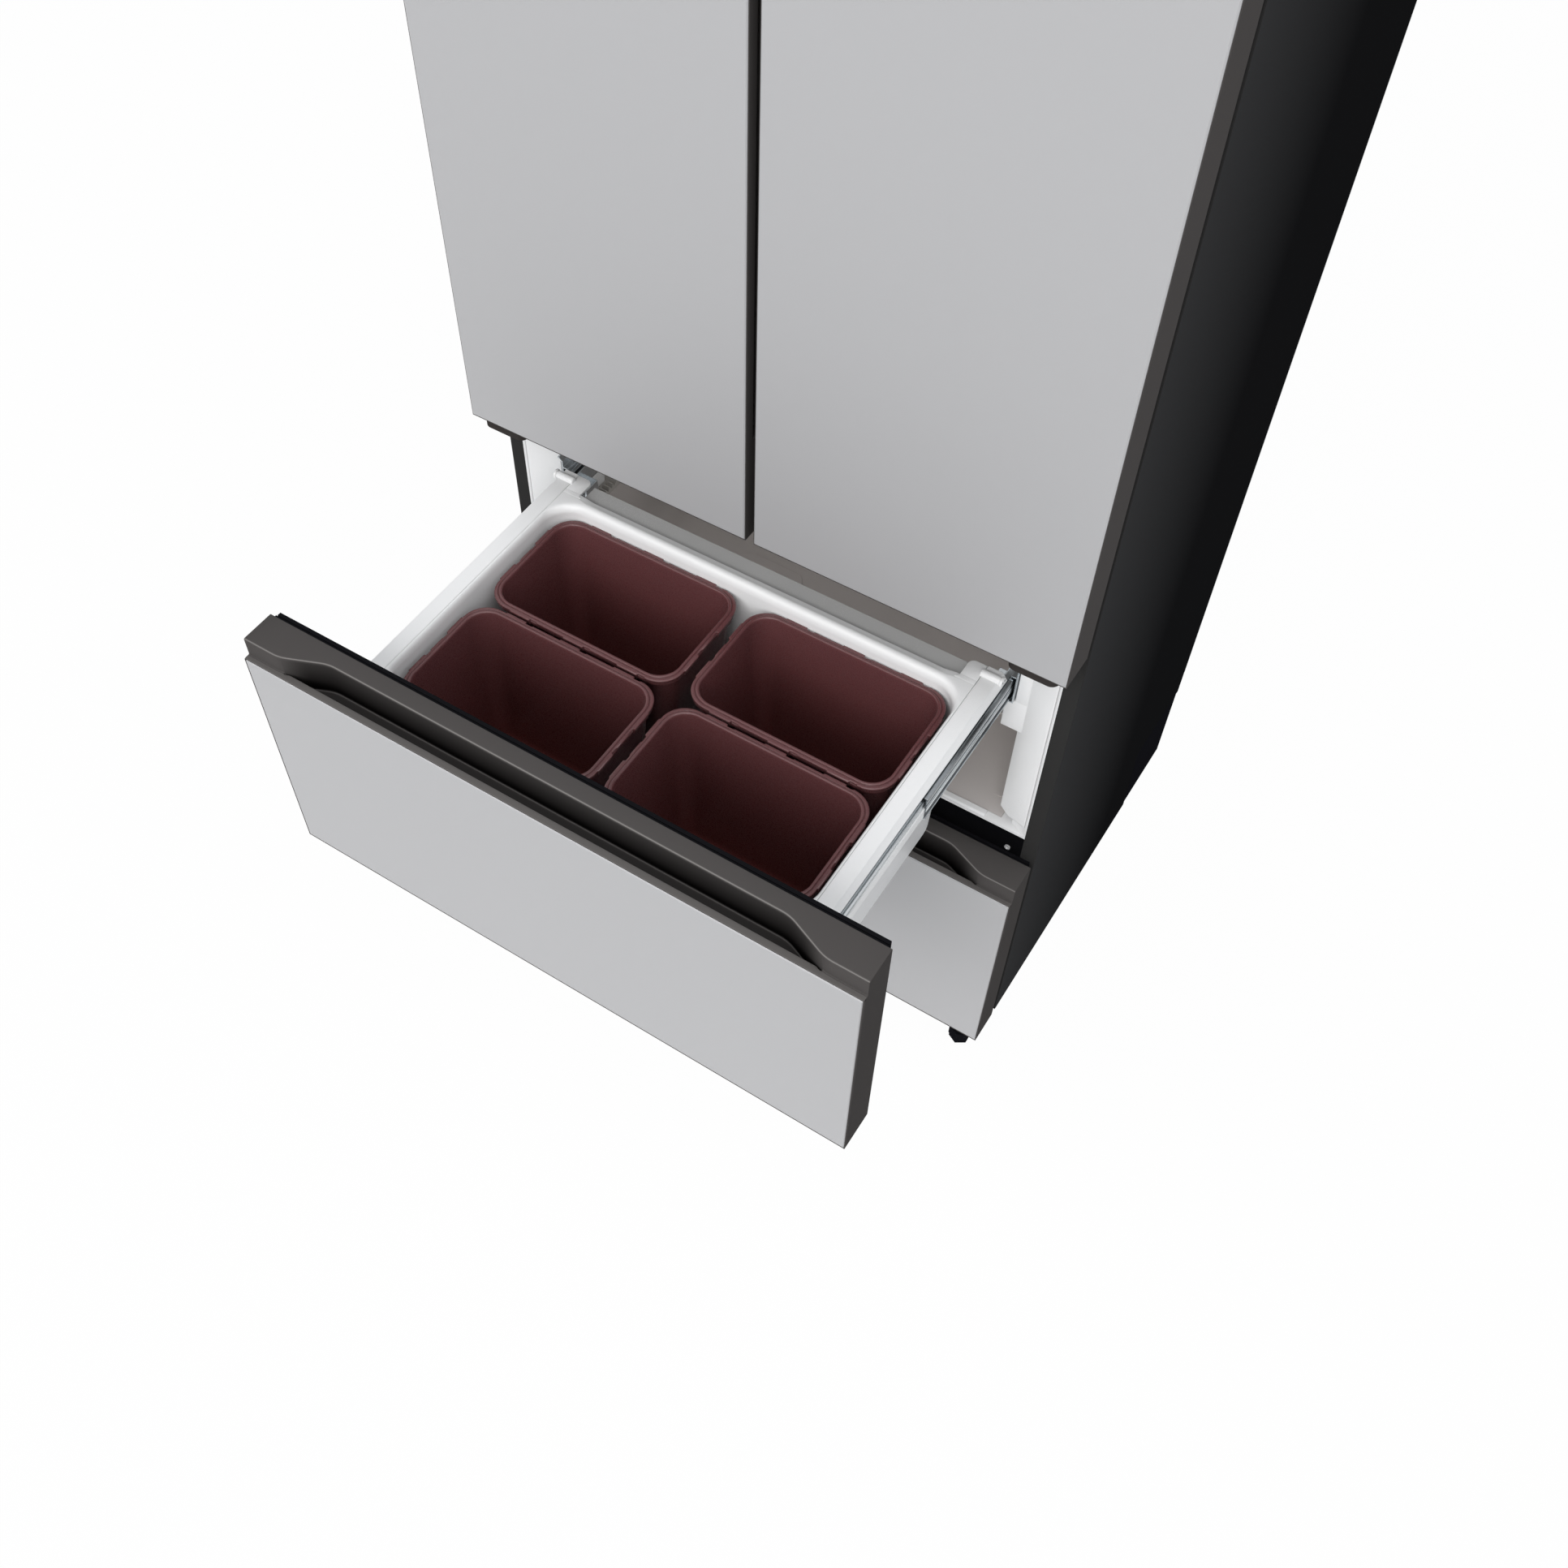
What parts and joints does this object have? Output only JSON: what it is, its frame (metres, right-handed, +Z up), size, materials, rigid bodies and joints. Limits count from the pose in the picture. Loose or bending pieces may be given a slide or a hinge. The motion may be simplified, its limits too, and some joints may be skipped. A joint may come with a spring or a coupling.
{
  "type": "kimchi refrigerator",
  "caption": "Free-standing kimchi refrigerator: silver doors above full-width drawers with recessed charcoal handles, slide runners, racks and plum containers.",
  "frame": {"origin": "on the floor, under the middle of the object as it stands with its middle drawer pulled out", "axes": "+Z up, +X to the right as seen from the front, -Y out of the front where the drawers open"},
  "size_m": [0.795, 1.0528, 1.85],
  "materials": {
    "silver_panel": "satin",
    "case_paint": "satin",
    "charcoal_trim": "satin",
    "black_metal": "satin",
    "white_plastic": "satin",
    "seal_rubber": "matte",
    "room_metal": "satin",
    "slide_steel": "satin",
    "rack_plastic": "satin",
    "shaft_metal": "satin",
    "container_plum": "glossy, slightly clear",
    "clear_plastic": "clear",
    "shelf_glass": "clear",
    "strip_grey": "translucent",
    "zinc_steel": "satin",
    "bright_steel": "polished",
    "foam": "matte",
    "hinge_paint": "satin",
    "dark_plastic": "satin"
  },
  "bodies": {
    "cabinet": {"outer_case": "case_paint", "back_panel": "zinc_steel", "base_pan": "zinc_steel", "front_rails": "black_metal", "upper_liners": "white_plastic", "middle_liner": "white_plastic", "middle_cold_box": "room_metal", "lower_liner": "white_plastic", "foam_insulation": "foam", "compressor": "black_metal", "condenser_coil": "black_metal", "fan_shroud": "dark_plastic", "drain_tray": "clear_plastic", "machine_cover": "zinc_steel", "lower_hinges": "hinge_paint", "upper_hinges": "zinc_steel", "hinge_covers": "dark_plastic", "shelf_glasses": "shelf_glass", "shelf_trims": "white_plastic", "fixed_slides": "slide_steel", "drawer_racks": "rack_plastic", "case_screws": "bright_steel"},
    "left_foot": {"left_foot": "dark_plastic"},
    "right_foot": {"right_foot": "dark_plastic"},
    "left_roller": {"left_roller": "dark_plastic"},
    "right_roller": {"right_roller": "dark_plastic"},
    "condenser_fan": {"condenser_fan": "dark_plastic"},
    "left_door": {"left_door_panel": "silver_panel", "left_door_frame": "charcoal_trim", "left_door_liner": "white_plastic", "left_door_seal": "seal_rubber", "left_door_bins": "clear_plastic"},
    "right_door": {"right_door_panel": "silver_panel", "right_door_frame": "charcoal_trim", "right_door_liner": "white_plastic", "right_door_seal": "seal_rubber", "right_door_bins": "clear_plastic"},
    "middle_drawer": {"middle_panel": "silver_panel", "middle_front_frame": "charcoal_trim", "middle_inner_cover": "white_plastic", "middle_seal": "seal_rubber", "middle_bin": "white_plastic", "middle_side_frames": "white_plastic", "middle_rear_strip": "strip_grey", "middle_drawer_slides": "slide_steel"},
    "middle_slides": {"middle_slides": "slide_steel"},
    "middle_sync_shaft": {"middle_sync_shaft": "shaft_metal"},
    "container_front_left": {"container_front_left": "container_plum"},
    "container_front_right": {"container_front_right": "container_plum"},
    "container_rear_left": {"container_rear_left": "container_plum"},
    "container_rear_right": {"container_rear_right": "container_plum"},
    "lower_drawer": {"lower_panel": "silver_panel", "lower_front_frame": "charcoal_trim", "lower_inner_cover": "white_plastic", "lower_seal": "seal_rubber", "lower_bin": "white_plastic", "lower_drawer_slides": "slide_steel", "lower_containers": "container_plum"},
    "lower_slides": {"lower_slides": "slide_steel"},
    "lower_sync_shaft": {"lower_sync_shaft": "shaft_metal"}
  },
  "joints": [
    {"name": "left_door_hinge", "type": "hinge", "parent": "cabinet", "child": "left_door", "pos_m": [-0.375, -0.0896, 0.8605], "axis": [0, 0, -1], "range_deg": [0, 110]},
    {"name": "right_door_hinge", "type": "hinge", "parent": "cabinet", "child": "right_door", "pos_m": [0.375, -0.0896, 0.8605], "axis": [0, 0, 1], "range_deg": [0, 110]},
    {"name": "middle_drawer_slide", "type": "slide", "parent": "cabinet", "child": "middle_drawer", "axis": [0, -1, 0], "range_m": [-0.4168, 0.0132]},
    {"name": "middle_slides_run", "type": "slide", "parent": "cabinet", "child": "middle_slides", "axis": [0, -1, 0], "range_m": [-0.2084, 0.0066]},
    {"name": "middle_shaft_turn", "type": "hinge", "parent": "middle_drawer", "child": "middle_sync_shaft", "pos_m": [0, -0.0269, 0.7075], "axis": [1, 0, 0], "range_deg": [-1593, 51]},
    {"name": "lower_drawer_slide", "type": "slide", "parent": "cabinet", "child": "lower_drawer", "axis": [0, -1, 0], "range_m": [0, 0.43]},
    {"name": "lower_slides_run", "type": "slide", "parent": "cabinet", "child": "lower_slides", "axis": [0, -1, 0], "range_m": [0, 0.215]},
    {"name": "lower_shaft_turn", "type": "hinge", "parent": "lower_drawer", "child": "lower_sync_shaft", "pos_m": [0, 0.3899, 0.319], "axis": [1, 0, 0], "range_deg": [0, 1643]},
    {"name": "container_front_left_lift", "type": "slide", "parent": "middle_drawer", "child": "container_front_left", "axis": [0, -0.1191, 0.9929], "range_m": [0, 0.25]},
    {"name": "container_front_right_lift", "type": "slide", "parent": "middle_drawer", "child": "container_front_right", "axis": [0, -0.1191, 0.9929], "range_m": [0, 0.25]},
    {"name": "container_rear_left_lift", "type": "slide", "parent": "middle_drawer", "child": "container_rear_left", "axis": [0, -0.1191, 0.9929], "range_m": [0, 0.25]},
    {"name": "container_rear_right_lift", "type": "slide", "parent": "middle_drawer", "child": "container_rear_right", "axis": [0, -0.1191, 0.9929], "range_m": [0, 0.25]},
    {"name": "condenser_fan_turn", "type": "hinge", "parent": "cabinet", "child": "condenser_fan", "pos_m": [0.06, 0.4404, 0.162], "axis": [1, 0, 0], "continuous": true},
    {"name": "left_roller_turn", "type": "hinge", "parent": "cabinet", "child": "left_roller", "pos_m": [-0.3575, 0.4884, 0.017], "axis": [1, 0, 0], "continuous": true},
    {"name": "right_roller_turn", "type": "hinge", "parent": "cabinet", "child": "right_roller", "pos_m": [0.3575, 0.4884, 0.017], "axis": [1, 0, 0], "continuous": true},
    {"name": "left_foot_turn", "type": "hinge", "parent": "cabinet", "child": "left_foot", "pos_m": [-0.3635, -0.0796, 0], "axis": [0, 0, 1], "continuous": true},
    {"name": "right_foot_turn", "type": "hinge", "parent": "cabinet", "child": "right_foot", "pos_m": [0.3635, -0.0796, 0], "axis": [0, 0, 1], "continuous": true}
  ],
  "couplings": [
    {"joint": "middle_slides_run", "follows": "middle_drawer_slide", "ratio": 0.5},
    {"joint": "middle_shaft_turn", "follows": "middle_drawer_slide", "rad_per_m": 66.667},
    {"joint": "lower_slides_run", "follows": "lower_drawer_slide", "ratio": 0.5},
    {"joint": "lower_shaft_turn", "follows": "lower_drawer_slide", "rad_per_m": 66.667}
  ]
}
